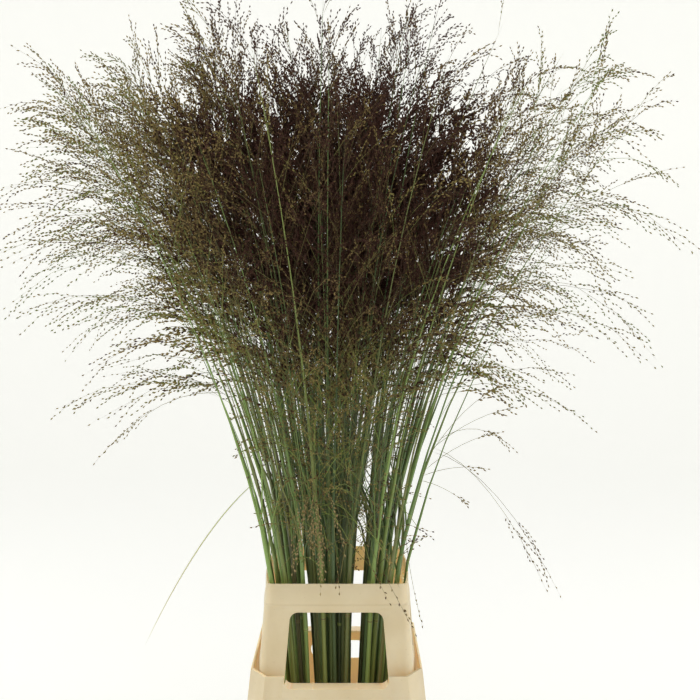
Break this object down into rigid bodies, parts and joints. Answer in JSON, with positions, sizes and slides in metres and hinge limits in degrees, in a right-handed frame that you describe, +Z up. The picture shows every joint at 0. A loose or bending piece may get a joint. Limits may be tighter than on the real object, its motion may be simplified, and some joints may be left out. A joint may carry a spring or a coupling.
{
  "type": "switchgrass bunch in a flower bucket",
  "caption": "Upright bunch of cut switchgrass, green stems with open airy brown seed heads, standing in a beige flower bucket with a windowed collar.",
  "frame": {"origin": "centre of the bucket's underside", "axes": "+Z up along the bunch, -Y towards the front window, +X to the right seen from the front"},
  "size_m": [1.0593, 0.8561, 1.2626],
  "materials": {
    "bucket_plastic": "matte moulded",
    "collar_plastic": "matte moulded",
    "grass": "fresh green stems, dry brown seed heads"
  },
  "bodies": {
    "root": {"bucket": "bucket_plastic", "collar": "collar_plastic", "stem_01": "grass", "stem_02": "grass", "stem_03": "grass", "stem_04": "grass", "stem_05": "grass", "stem_06": "grass", "stem_07": "grass", "stem_08": "grass", "stem_09": "grass", "stem_10": "grass", "stem_11": "grass", "stem_12": "grass", "stem_13": "grass", "stem_14": "grass", "stem_15": "grass", "stem_16": "grass", "stem_17": "grass", "stem_18": "grass", "stem_19": "grass", "stem_20": "grass", "stem_21": "grass", "stem_22": "grass", "stem_23": "grass", "stem_24": "grass", "stem_25": "grass", "stem_26": "grass", "stem_27": "grass", "stem_28": "grass", "stem_29": "grass", "stem_30": "grass", "stem_31": "grass", "stem_32": "grass", "stem_33": "grass", "stem_34": "grass", "stem_35": "grass", "stem_36": "grass", "stem_37": "grass", "stem_38": "grass", "stem_39": "grass", "stem_40": "grass", "stem_41": "grass", "stem_42": "grass", "stem_43": "grass", "stem_44": "grass", "stem_45": "grass", "stem_46": "grass", "stem_47": "grass", "stem_48": "grass", "stem_49": "grass", "stem_50": "grass", "stem_51": "grass", "stem_52": "grass", "stem_53": "grass", "stem_54": "grass", "stem_55": "grass"}
  },
  "joints": []
}
